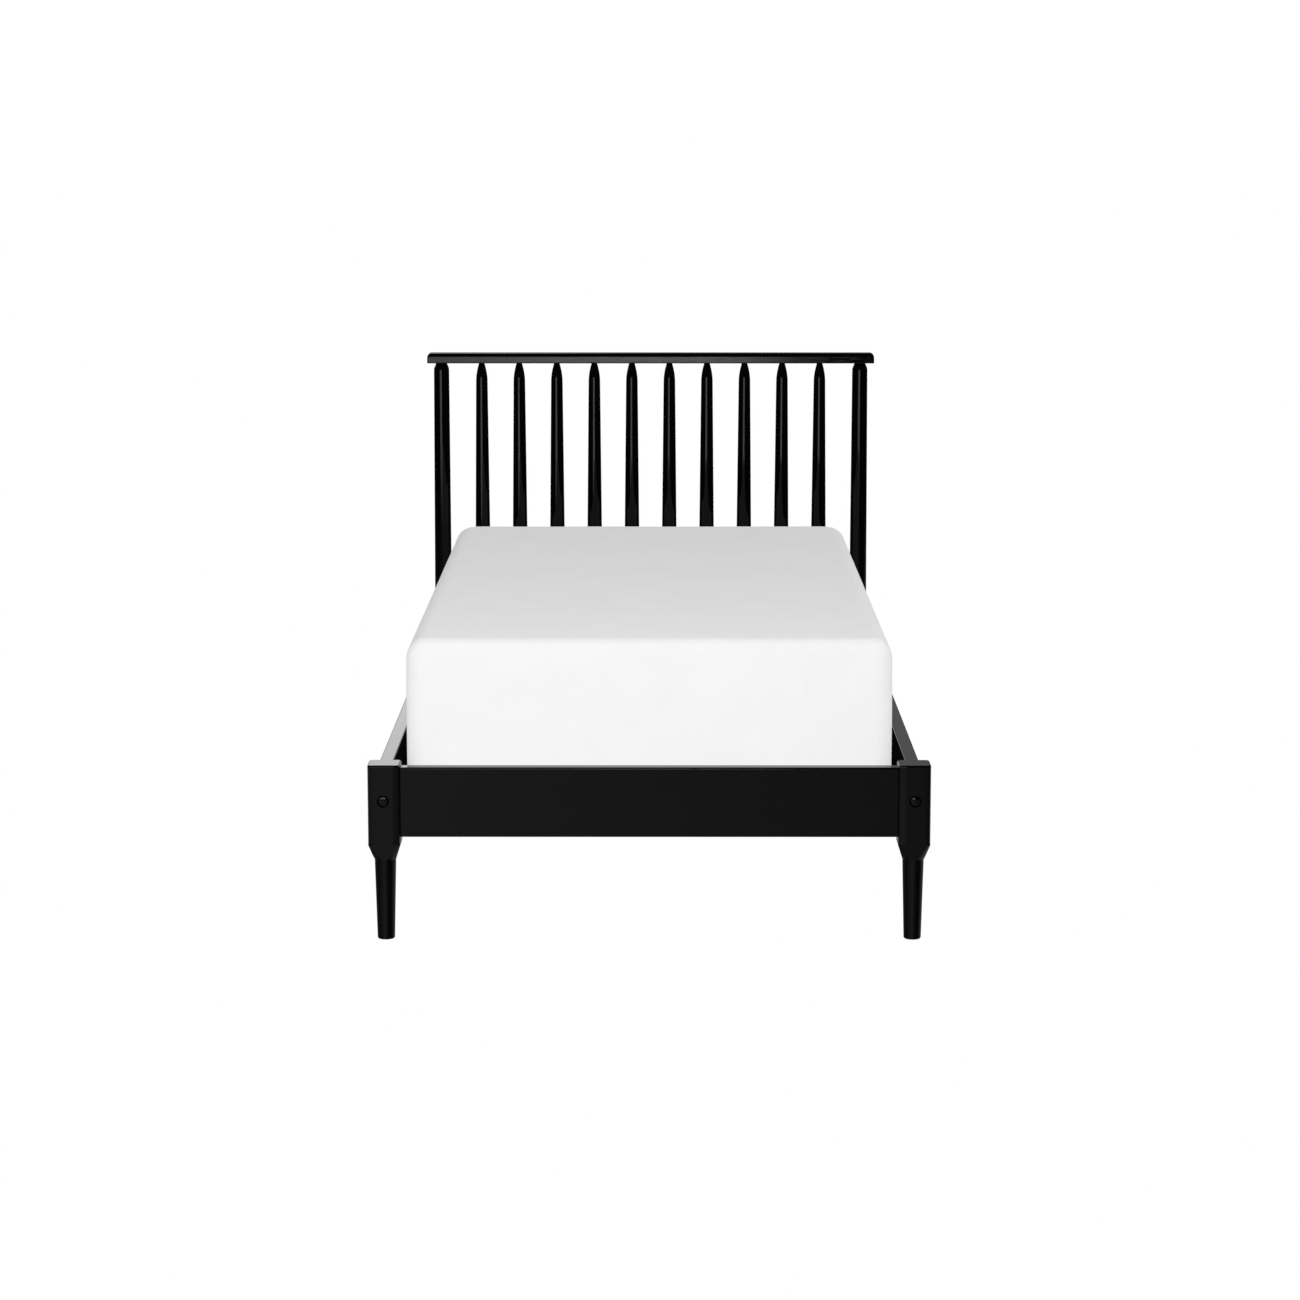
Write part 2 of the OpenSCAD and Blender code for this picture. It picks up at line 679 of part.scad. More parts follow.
headboard_post_left();
headboard_post_right();
crest_rail();
headboard_lower_rail();
spindle_01();
spindle_02();
spindle_03();
spindle_04();
spindle_05();
spindle_06();
spindle_07();
spindle_08();
spindle_09();
spindle_10();
footboard_leg_left();
footboard_leg_right();
footboard_rail();
side_rail_left();
side_rail_right();
slat_ledger_left();
slat_ledger_right();
slat_01();
slat_02();
slat_03();
slat_04();
slat_05();
slat_06();
slat_07();
slat_08();
slat_09();
slat_10();
slat_11();
slat_12();
slat_13();
slat_14();
slat_strap_left();
slat_strap_right();
centre_support_rail();
support_bracket_head();
support_bracket_foot();
centre_leg();
centre_leg_hanger_bolt();
leveller_insert();
leveller_pad();
leveller_stem();
leg_glides();
bolt_cap_foot_left();
bolt_cap_foot_right();
bolt_cap_head_left();
bolt_cap_head_right();
corner_bolts();
barrel_nuts();
rail_dowels();
ledger_screws();
slat_screws();
bracket_screws();
mattress_cover();
mattress_foam_core();
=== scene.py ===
import math

import bmesh
import bpy
import numpy as np
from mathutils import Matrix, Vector, noise


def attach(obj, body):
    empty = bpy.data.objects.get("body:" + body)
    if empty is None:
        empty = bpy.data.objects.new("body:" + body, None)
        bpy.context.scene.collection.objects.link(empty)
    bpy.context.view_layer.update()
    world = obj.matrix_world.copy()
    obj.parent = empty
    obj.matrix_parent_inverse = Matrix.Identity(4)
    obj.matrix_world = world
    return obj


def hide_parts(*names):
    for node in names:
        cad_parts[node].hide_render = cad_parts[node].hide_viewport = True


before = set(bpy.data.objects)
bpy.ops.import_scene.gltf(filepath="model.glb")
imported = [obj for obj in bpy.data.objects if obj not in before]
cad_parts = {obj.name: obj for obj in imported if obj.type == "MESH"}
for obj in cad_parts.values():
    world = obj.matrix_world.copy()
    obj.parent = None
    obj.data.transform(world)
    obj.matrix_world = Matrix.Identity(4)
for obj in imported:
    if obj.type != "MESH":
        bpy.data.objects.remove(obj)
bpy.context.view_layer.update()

scene = bpy.context.scene
MM = 0.001

# ---------------------------------------------------------------------------
# Camera: square on to the foot end, a little above the mattress
# ---------------------------------------------------------------------------
cam_data = bpy.data.cameras.new("camera")
cam_data.lens = 98.03
cam_data.sensor_fit = "HORIZONTAL"
cam_data.sensor_width = 36.0
cam_data.clip_start = 0.05
cam_data.clip_end = 500.0
cam_data.dof.use_dof = False
camera = bpy.data.objects.new("camera", cam_data)
camera.location = (0.01235, -7.840, 1.6575)
camera.rotation_euler = (math.radians(90.0 - 8.955), 0.0, math.radians(0.0906))
scene.collection.objects.link(camera)
scene.camera = camera

scene.view_settings.view_transform = "Standard"
scene.view_settings.look = "None"
scene.view_settings.exposure = 0.0
scene.view_settings.gamma = 1.0


# ---------------------------------------------------------------------------
# Node helpers
# ---------------------------------------------------------------------------
class Graph:
    """Short names for building a node tree."""

    def __init__(self, tree):
        self.tree = tree
        tree.nodes.clear()

    def new(self, kind, **settings):
        n = self.tree.nodes.new(kind)
        for key, value in settings.items():
            setattr(n, key, value)
        return n

    def plug(self, value, socket):
        if isinstance(value, bpy.types.NodeSocket):
            self.tree.links.new(value, socket)
        else:
            socket.default_value = value

    def math(self, op, a, b=None, c=None, clamp=False):
        n = self.new("ShaderNodeMath", operation=op, use_clamp=clamp)
        self.plug(a, n.inputs[0])
        if b is not None:
            self.plug(b, n.inputs[1])
        if c is not None:
            self.plug(c, n.inputs[2])
        return n.outputs[0]

    def add(self, *terms):
        total = terms[0]
        for t in terms[1:]:
            total = self.math("ADD", total, t)
        return total

    def mul(self, *terms):
        total = terms[0]
        for t in terms[1:]:
            total = self.math("MULTIPLY", total, t)
        return total

    def smooth(self, x, a, b, lo=0.0, hi=1.0):
        """lo where x is at a or before it, hi at b or past it, with a soft change between."""
        n = self.new("ShaderNodeMapRange", interpolation_type="SMOOTHSTEP", clamp=True)
        self.plug(x, n.inputs["Value"])
        if a < b:
            spans = (a, b, lo, hi)
        else:
            spans = (b, a, hi, lo)
        for name, value in zip(("From Min", "From Max", "To Min", "To Max"), spans):
            n.inputs[name].default_value = value
        return n.outputs[0]

    def mapping(self, vector, scale=(1, 1, 1), location=(0, 0, 0), rotation=(0, 0, 0)):
        n = self.new("ShaderNodeMapping")
        self.plug(vector, n.inputs["Vector"])
        n.inputs["Scale"].default_value = scale
        n.inputs["Location"].default_value = location
        n.inputs["Rotation"].default_value = rotation
        return n.outputs[0]

    def noise(self, vector, scale, detail=2.0, rough=0.5, distortion=0.0):
        n = self.new("ShaderNodeTexNoise")
        self.plug(vector, n.inputs["Vector"])
        n.inputs["Scale"].default_value = scale
        n.inputs["Detail"].default_value = detail
        n.inputs["Roughness"].default_value = rough
        n.inputs["Distortion"].default_value = distortion
        return n.outputs["Fac"]

    def ramp(self, fac, stops):
        n = self.new("ShaderNodeValToRGB")
        self.plug(fac, n.inputs["Fac"])
        els = n.color_ramp.elements
        while len(els) < len(stops):
            els.new(0.5)
        for e, (pos, col) in zip(els, stops):
            e.position = pos
            e.color = (*col, 1.0)
        return n.outputs["Color"]

    def mix(self, fac, a, b):
        n = self.new("ShaderNodeMix", data_type="RGBA")
        self.plug(fac, n.inputs[0])
        for value, socket in ((a, n.inputs[6]), (b, n.inputs[7])):
            if isinstance(value, tuple):
                socket.default_value = (*value, 1.0)
            else:
                self.plug(value, socket)
        return n.outputs[2]

    def bump(self, height, strength, distance, normal=None):
        n = self.new("ShaderNodeBump")
        self.plug(height, n.inputs["Height"])
        n.inputs["Strength"].default_value = strength
        n.inputs["Distance"].default_value = distance
        if normal is not None:
            self.plug(normal, n.inputs["Normal"])
        return n.outputs["Normal"]


def new_material(name):
    m = bpy.data.materials.new(name)
    m.use_nodes = True
    g = Graph(m.node_tree)
    shader = g.new("ShaderNodeBsdfPrincipled")
    out = g.new("ShaderNodeOutputMaterial")
    g.tree.links.new(shader.outputs[0], out.inputs["Surface"])
    where = g.new("ShaderNodeTexCoord").outputs["Object"]
    return m, g, shader, where


def along(axis, fine, coarse):
    """Scale that stretches a texture along one axis."""
    return tuple(coarse if k == "xyz".index(axis) else fine for k in range(3))


# ---------------------------------------------------------------------------
# Materials
# ---------------------------------------------------------------------------
def make_black_paint(axis):
    """Satin black lacquer on turned or planed wood: the grain only just shows through it."""
    m, g, s, p = new_material("black_paint_" + axis)
    cloud = g.noise(p, 9.0, 3.0, 0.6)
    grain = g.noise(g.mapping(p, along(axis, 1.0, 0.035)), 520.0, 4.0, 0.62, 0.4)
    pores = g.noise(g.mapping(p, along(axis, 1.0, 0.02)), 1400.0, 2.0, 0.5)
    tone = g.add(g.mul(cloud, 0.6), g.mul(grain, 0.4))
    g.plug(g.ramp(tone, [(0.3, (0.0005, 0.0005, 0.00055)), (0.7, (0.0011, 0.00105, 0.00105))]),
           s.inputs["Base Color"])
    smear = g.noise(g.mapping(p, along(axis, 1.0, 0.3)), 38.0, 3.0, 0.55)
    g.plug(g.add(0.038, g.mul(smear, 0.018), g.mul(grain, 0.010)), s.inputs["Roughness"])
    peel = g.noise(p, 260.0, 2.0, 0.5)
    n1 = g.bump(peel, 0.10, 0.00008)
    n2 = g.bump(grain, 0.15, 0.00008, n1)
    n3 = g.bump(g.smooth(pores, 0.60, 0.74), 0.15, 0.00006, n2)
    g.plug(n3, s.inputs["Normal"])
    s.inputs["IOR"].default_value = 1.222
    return m


def make_first_coat(name="flat_black_first_coat"):
    """The flat black coat under the lacquer, left as it is where the mattress hides it: brushed, no gloss."""
    m, g, s, p = new_material(name)
    brush = g.noise(g.mapping(p, along("y", 1.0, 0.03)), 300.0, 4.0, 0.6, 0.3)
    patch = g.noise(p, 16.0, 3.0, 0.55)
    dust = g.noise(p, 1100.0, 2.0, 0.5)
    tone = g.add(g.mul(brush, 0.4), g.mul(patch, 0.4), g.mul(dust, 0.2))
    g.plug(g.ramp(tone, [(0.3, (0.0024, 0.0024, 0.0025)), (0.7, (0.0060, 0.0059, 0.0058))]),
           s.inputs["Base Color"])
    g.plug(g.add(0.55, g.mul(brush, 0.2)), s.inputs["Roughness"])
    g.plug(g.bump(g.add(g.mul(brush, 0.7), g.mul(dust, 0.3)), 0.25, 0.00012), s.inputs["Normal"])
    s.inputs["Specular IOR Level"].default_value = 0.0
    return m


def make_wood(name, axis, light, mid, dark, knots):
    """Planed softwood or beech: growth bands along the board, fine fibres, and knots if asked for."""
    m, g, s, p = new_material(name)
    warp = g.noise(g.mapping(p, along(axis, 1.0, 0.22)), 7.0, 3.0, 0.5)
    bands = g.new("ShaderNodeTexWave", wave_type="BANDS", bands_direction="DIAGONAL")
    g.plug(g.mapping(p, along(axis, 1.0, 0.05), (0.013, 0.021, 0.007)), bands.inputs["Vector"])
    bands.inputs["Scale"].default_value = 30.0
    bands.inputs["Distortion"].default_value = 9.0
    bands.inputs["Detail"].default_value = 3.0
    bands.inputs["Detail Scale"].default_value = 1.3
    fibre = g.noise(g.mapping(p, along(axis, 1.0, 0.03)), 420.0, 5.0, 0.6, 0.3)
    tone = g.add(g.mul(bands.outputs["Fac"], 0.45), g.mul(warp, 0.30), g.mul(fibre, 0.25))
    colour = g.ramp(tone, [(0.22, dark), (0.5, mid), (0.78, light)])
    height = g.add(g.mul(fibre, 0.7), g.mul(bands.outputs["Fac"], 0.3))
    if knots:
        v = g.new("ShaderNodeTexVoronoi", feature="F1")
        g.plug(g.mapping(p, along(axis, 1.0, 0.42), (0.31, 0.12, 0.44)), v.inputs["Vector"])
        v.inputs["Scale"].default_value = 5.2
        v.inputs["Randomness"].default_value = 1.0
        ring = g.add(v.outputs["Distance"], g.mul(g.noise(p, 90.0, 2.0), 0.03))
        colour = g.mix(g.smooth(ring, 0.150, 0.062), colour, tuple(0.55 * c for c in mid))
        colour = g.mix(g.smooth(ring, 0.062, 0.040), colour, tuple(0.20 * c for c in mid))
    g.plug(colour, s.inputs["Base Color"])
    g.plug(g.add(0.50, g.mul(fibre, 0.18)), s.inputs["Roughness"])
    g.plug(g.bump(height, 0.35, 0.00018), s.inputs["Normal"])
    return m


def make_zinc():
    m, g, s, p = new_material("zinc_plated_steel")
    v = g.new("ShaderNodeTexVoronoi", feature="F1")
    g.plug(p, v.inputs["Vector"])
    v.inputs["Scale"].default_value = 240.0
    spangle = g.new("ShaderNodeSeparateColor")
    g.plug(v.outputs["Color"], spangle.inputs[0])
    rub = g.noise(p, 700.0, 3.0, 0.6)
    tone = g.add(g.mul(spangle.outputs[0], 0.5), g.mul(rub, 0.5))
    g.plug(g.ramp(tone, [(0.2, (0.44, 0.45, 0.46)), (0.8, (0.68, 0.69, 0.69))]), s.inputs["Base Color"])
    g.plug(g.add(0.26, g.mul(tone, 0.22)), s.inputs["Roughness"])
    g.plug(g.bump(rub, 0.2, 0.00004), s.inputs["Normal"])
    s.inputs["Metallic"].default_value = 1.0
    return m


def make_nylon():
    m, g, s, p = new_material("black_nylon")
    grainy = g.noise(p, 900.0, 3.0, 0.55)
    flow = g.noise(p, 60.0, 2.0, 0.5)
    g.plug(g.ramp(g.add(g.mul(grainy, 0.5), g.mul(flow, 0.5)),
                  [(0.3, (0.010, 0.010, 0.011)), (0.7, (0.019, 0.019, 0.020))]), s.inputs["Base Color"])
    g.plug(g.add(0.42, g.mul(grainy, 0.16)), s.inputs["Roughness"])
    g.plug(g.bump(grainy, 0.35, 0.00010), s.inputs["Normal"])
    return m


def make_webbing():
    """Flat woven polyester tape, running along Y."""
    m, g, s, p = new_material("webbing_tape")
    xyz = g.new("ShaderNodeSeparateXYZ")
    g.plug(p, xyz.inputs[0])
    ends = g.math("SINE", g.mul(xyz.outputs["X"], 2.0 * math.pi / 0.0021))
    picks = g.math("SINE", g.mul(xyz.outputs["Y"], 2.0 * math.pi / 0.0017))
    weave = g.add(0.5, g.mul(ends, picks, 0.5))
    lint = g.noise(p, 1500.0, 3.0, 0.6)
    tone = g.add(g.mul(weave, 0.7), g.mul(lint, 0.3))
    g.plug(g.ramp(tone, [(0.15, (0.55, 0.54, 0.51)), (0.85, (0.80, 0.79, 0.76))]), s.inputs["Base Color"])
    g.plug(g.add(0.72, g.mul(lint, 0.15)), s.inputs["Roughness"])
    g.plug(g.bump(tone, 0.6, 0.0004), s.inputs["Normal"])
    s.inputs["Sheen Weight"].default_value = 0.15
    return m


M_SEAM = 0.3005      # height of the seam round the mattress's bottom, metres


def make_ticking(name="mattress_knit"):
    """White stretch knit over foam: fine stitch columns, a little lint, almost no colour."""
    m, g, s, p = new_material(name)
    xyz = g.new("ShaderNodeSeparateXYZ")
    g.plug(p, xyz.inputs[0])
    x, y, z = xyz.outputs["X"], xyz.outputs["Y"], xyz.outputs["Z"]
    wale = 2.0 * math.pi / 0.0018
    course = 2.0 * math.pi / 0.0013
    cx = g.math("COSINE", g.mul(x, wale))
    cy = g.math("COSINE", g.mul(y, course))
    cz = g.math("COSINE", g.mul(z, course))
    stitch = g.add(g.mul(cx, 0.25), g.mul(cy, 0.25), g.mul(cz, 0.25), 0.5)
    lint = g.noise(p, 900.0, 3.0, 0.6)
    soft = g.noise(p, 14.0, 3.0, 0.55)
    tone = g.add(g.mul(stitch, 0.18), g.mul(lint, 0.22), g.mul(soft, 0.60))
    knit = g.ramp(tone, [(0.25, (0.872, 0.872, 0.872)), (0.75, (0.912, 0.912, 0.912))])
    # hidden between the rails at rest: a sewn seam round the bottom, and a grey base cloth with raised dots under it
    off = g.math("ABSOLUTE", g.math("SUBTRACT", z, M_SEAM))
    # groove marks the seam's indent: it dents the cover's bump and also paints shade into its colour
    groove = g.smooth(off, 0.0014, 0.0003)
    thread = g.mul(g.smooth(g.math("ABSOLUTE", g.math("SUBTRACT", off, 0.0032)), 0.0006, 0.0002),
                   g.smooth(g.math("COSINE", g.mul(g.add(x, y), 2.0 * math.pi / 0.0045)), -0.5, 0.1))
    below = g.smooth(z, M_SEAM, M_SEAM - 0.0006)
    dots = g.mul(g.smooth(g.mul(g.math("COSINE", g.mul(x, 2.0 * math.pi / 0.012)),
                                g.math("COSINE", g.mul(y, 2.0 * math.pi / 0.012))), 0.55, 0.75), below)
    base = g.mix(dots, g.ramp(tone, [(0.25, (0.26, 0.265, 0.275)), (0.75, (0.34, 0.345, 0.355))]), (0.16, 0.16, 0.17))
    cover = g.mix(below, knit, base)
    # the seam's groove is painted a darker grey: painted shade in the crease
    g.plug(g.mix(g.mul(groove, 0.65), cover, (0.42, 0.42, 0.43)), s.inputs["Base Color"])
    g.plug(g.add(0.86, g.mul(lint, 0.10)), s.inputs["Roughness"])
    n1 = g.bump(soft, 0.14, 0.0008)
    n2 = g.bump(g.add(g.mul(stitch, 0.6), g.mul(lint, 0.4)), 0.30, 0.00016, n1)
    n3 = g.bump(g.add(g.mul(groove, -1.0), g.mul(thread, 0.35), g.mul(dots, 0.4)), 0.8, 0.0012, n2)
    g.plug(n3, s.inputs["Normal"])
    s.inputs["Specular IOR Level"].default_value = 0.12
    s.inputs["Sheen Weight"].default_value = 0.05
    s.inputs["Sheen Roughness"].default_value = 0.6
    return m


PAINT = {a: make_black_paint(a) for a in "xyz"}
FIRST_COAT = make_first_coat()
pine_light, pine_mid, pine_dark = (0.70, 0.49, 0.27), (0.58, 0.37, 0.18), (0.42, 0.24, 0.10)
PINE = {a: make_wood("pine_" + a, a, pine_light, pine_mid, pine_dark, True) for a in "xyz"}
BEECH = make_wood("beech_y", "y", (0.60, 0.38, 0.22), (0.52, 0.31, 0.17), (0.42, 0.24, 0.12), False)
ZINC = make_zinc()
NYLON = make_nylon()
WEBBING = make_webbing()
TICKING = make_ticking()

node_materials = {"slat_ledger_left": FIRST_COAT, "slat_ledger_right": FIRST_COAT,
                  "centre_support_rail": PINE["y"], "centre_leg": PINE["z"],
                  "slat_strap_left": WEBBING, "slat_strap_right": WEBBING,
                  "support_bracket_head": ZINC, "support_bracket_foot": ZINC,
                  "centre_leg_hanger_bolt": ZINC, "leveller_insert": ZINC,
                  "leveller_stem": ZINC, "leveller_pad": NYLON, "leg_glides": NYLON,
                  "corner_bolts": ZINC, "barrel_nuts": ZINC, "rail_dowels": BEECH,
                  "ledger_screws": ZINC, "slat_screws": ZINC, "bracket_screws": ZINC}
for i in range(14):
    node_materials["slat_%02d" % (i + 1)] = PINE["x"]
for node, material in node_materials.items():
    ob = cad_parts[node]
    if not ob.material_slots:
        ob.data.materials.append(material)
    for mat_slot in ob.material_slots:
        mat_slot.material = material


# ---------------------------------------------------------------------------
# Mesh helpers. Sizes are in millimetres until a mesh is made.
# ---------------------------------------------------------------------------
def make_mesh(name, verts, faces, material, sharp=34.0):
    me = bpy.data.meshes.new(name)
    me.from_pydata([(x * MM, y * MM, z * MM) for x, y, z in verts], [], faces)
    bm = bmesh.new()
    bm.from_mesh(me)
    bmesh.ops.remove_doubles(bm, verts=bm.verts, dist=1e-6)
    bmesh.ops.recalc_face_normals(bm, faces=bm.faces)
    for f in bm.faces:
        f.smooth = True
    for e in bm.edges:
        if len(e.link_faces) == 2:
            e.smooth = e.calc_face_angle() < math.radians(sharp)
    bm.to_mesh(me)
    bm.free()
    me.materials.append(material)
    ob = bpy.data.objects.new(name, me)
    scene.collection.objects.link(ob)
    return ob


def loft(rings, caps=True):
    """Vertices and faces of a closed skin through rings that all have the same number of points."""
    n = len(rings[0])
    verts = [p for ring in rings for p in ring]
    faces = []
    for i in range(len(rings) - 1):
        a, b = i * n, (i + 1) * n
        for k in range(n):
            j = (k + 1) % n
            faces.append((a + k, a + j, b + j, b + k))
    if caps:
        faces.append(tuple(reversed(range(n))))
        faces.append(tuple(range((len(rings) - 1) * n, len(rings) * n)))
    return verts, faces


def lathe(name, profile, material, at=(0, 0), steps=48, axis="z", sharp=34.0):
    """Turned piece: profile is (radius, distance along the axis), at is the axis's place on the other two."""
    rings = []
    for r, h in profile:
        ring = []
        for k in range(steps):
            t = 2 * math.pi * k / steps
            u, v = r * math.cos(t), r * math.sin(t)
            ring.append((at[0] + u, at[1] + v, h) if axis == "z" else (at[0] + u, h, at[1] + v))
        rings.append(ring)
    verts, faces = loft(rings)
    return make_mesh(name, verts, faces, material, sharp)


def arc(a, b, n):
    return [a + (b - a) * i / n for i in range(n + 1)]


def section(hw, hh, r_top, r_low, guard=1.2, seg=4):
    """Rectangle with rounded corners as points (u, v), v upwards, with guard points next to each corner."""
    pts = []
    for su, sv, r, start in ((1, -1, r_low, -90), (1, 1, r_top, 0), (-1, 1, r_top, 90), (-1, -1, r_low, 180)):
        cu, cv = su * (hw - r), sv * (hh - r)
        corner = [(cu + r * math.cos(math.radians(t)), cv + r * math.sin(math.radians(t)))
                  for t in arc(start, start + 90, seg)]
        t0, t1 = math.radians(start), math.radians(start + 90)
        before = (corner[0][0] + guard * math.sin(t0), corner[0][1] - guard * math.cos(t0))
        after = (corner[-1][0] - guard * math.sin(t1), corner[-1][1] + guard * math.cos(t1))
        pts += [before] + corner + [after]
    return pts


def bar(name, axis, span, centre, half, material, r_top=2.5, r_low=2.5, groove=0.4, wave=0.0):
    """Planed rail along x or y, with eased edges and slightly eased ends; wave, 0 unless given, adds a trace of
    waviness to its faces.
    """
    lo, hi = span
    stations = [(lo, groove), (lo + 0.15, groove * 0.45), (lo + groove, 0.0), (lo + 2.0, 0.0)]
    count = max(2, int((hi - lo) / 60.0))
    stations += [(lo + (hi - lo) * i / count, 0.0) for i in range(1, count)]
    stations += [(hi - 2.0, 0.0), (hi - groove, 0.0), (hi - 0.15, groove * 0.45), (hi, groove)]
    base = section(half[0], half[1], r_top, r_low)
    rings = []
    for s, inset in [(lo, groove + 1.0)] + stations + [(hi, groove + 1.0)]:
        ku, kv = (half[0] - inset) / half[0], (half[1] - inset) / half[1]
        ring = []
        for u, v in base:
            sag = wave * (noise.noise(Vector((s * 0.006, u * 0.02, v * 0.02 + centre[0] * 0.1))) - 1.0) if wave else 0.0
            u1, v1 = u * ku * (1 + sag / half[0]), v * kv * (1 + sag / half[1])
            if axis == "x":
                ring.append((s, centre[0] + u1, centre[1] + v1))
            else:
                ring.append((centre[0] + u1, s, centre[1] + v1))
        rings.append(ring)
    verts, faces = loft(rings)
    return make_mesh(name, verts, faces, material)


def painted(piece, *nodes):
    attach(piece, "frame")
    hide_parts(*nodes)
    return piece


# ---------------------------------------------------------------------------
# Posts and legs: a square block with chamfer shoulders, turned above and below
# ---------------------------------------------------------------------------
POST_X, POST_Y = 521.5, 990.0
BLOCK, EDGE_R = 32.0, 6.5
Z_SH0, Z_BLOCK0, Z_BLOCK1, Z_SH1 = 160.5, 194.5, 353.5, 387.5
R_LEG, R_POST = 21.2, 21.25
BOLT_X, BOLT_Z = 523.0, 281.5
CORNER_R = (BLOCK - EDGE_R) * math.sqrt(2.0) + EDGE_R


def square_radius(t, d, rr):
    """Distance to the edge of a rounded square at angle t (0 to 45 degrees) from a face's middle."""
    c = d - rr
    if math.tan(t) * d <= c:
        return d / math.cos(t)
    k = math.cos(t) + math.sin(t)
    return c * k + math.sqrt(max(0.0, c * c * k * k - 2 * c * c + rr * rr))


def blend_lin(z, z0, z1, a, b):
    k = min(1.0, max(0.0, (z - z0) / (z1 - z0)))
    return a + (b - a) * k


def softened(fn, z, width=1.3):
    """fn averaged over a short length, which rounds its corners."""
    n = 8
    return sum(fn(z + width * (2.0 * (i + 0.5) / n - 1.0)) for i in range(n)) / n


def make_profile(head):
    turned_low = [(16.4, 1.5), (16.95, 1.9), (17.2, 2.7), (21.2, 160.5)]
    turned_high = [(21.25, 387.5), (18.9, 974.0), (18.4, 978.0), (17.3, 981.5), (15.6, 985.0),
                   (14.3, 988.0), (13.8, 991.0), (13.8, 991.2), (10.0, 991.3), (10.0, 996.0)]

    def turned(table, z):
        for (r0, z0), (r1, z1) in zip(table, table[1:]):
            if z <= z1:
                return blend_lin(z, z0, z1, r0, r1)
        return table[-1][0]

    def half_width(z):
        if z <= Z_SH0:
            return turned(turned_low, z)
        if z < Z_BLOCK0:
            return blend_lin(z, Z_SH0, Z_BLOCK0, R_LEG, BLOCK)
        if z <= Z_BLOCK1 or not head:
            return BLOCK
        if z < Z_SH1:
            return blend_lin(z, Z_BLOCK1, Z_SH1, BLOCK, R_POST)
        return turned(turned_high, z)

    def cone(z):
        if z <= Z_SH0:
            return turned(turned_low, z)
        if z < Z_BLOCK0:
            return blend_lin(z, Z_SH0, Z_BLOCK0, R_LEG, CORNER_R)
        if z <= Z_BLOCK1 or not head:
            return CORNER_R
        if z < Z_SH1:
            return blend_lin(z, Z_BLOCK1, Z_SH1, CORNER_R, R_POST)
        return turned(turned_high, z)

    return half_width, cone


FLAT_STEPS = (0.0, 0.35, 0.70, 0.90, 0.97)
ROUND_STEPS = (0.0, 0.08, 0.30, 0.55, 0.78, 1.0)


def post_ring(cx, cy, z, w, R, inset=0.0):
    """One ring of a post: the flats end where the cone or the rounded edge takes over."""
    quarter = math.pi / 4

    def other(t):
        return min(R, square_radius(t, BLOCK, EDGE_R))

    lo, hi = 0.0, quarter
    if w / math.cos(lo) >= other(lo) - 1e-6:
        a = math.radians(3.0)
        radius = lambda t: other(t) if R <= w + 1e-6 else min(w / math.cos(t), other(t))
    else:
        for _ in range(30):
            mid = 0.5 * (lo + hi)
            if w / math.cos(mid) < other(mid) - 1e-7:
                lo = mid
            else:
                hi = mid
        a = max(math.radians(3.0), lo)
        radius = lambda t: min(w / math.cos(t), other(t))
    ts = [a * f for f in FLAT_STEPS] + [a + (quarter - a) * f for f in ROUND_STEPS]
    rs = [radius(t) - inset for t in ts]
    n = len(ts) - 1
    pts = []
    for q in range(8):
        for j in range(n):
            if q % 2 == 0:
                t, r = q * quarter + ts[j], rs[j]
            else:
                t, r = (q + 1) * quarter - ts[n - j], rs[n - j]
            pts.append((cx + r * math.cos(t), cy + r * math.sin(t), z))
    return pts


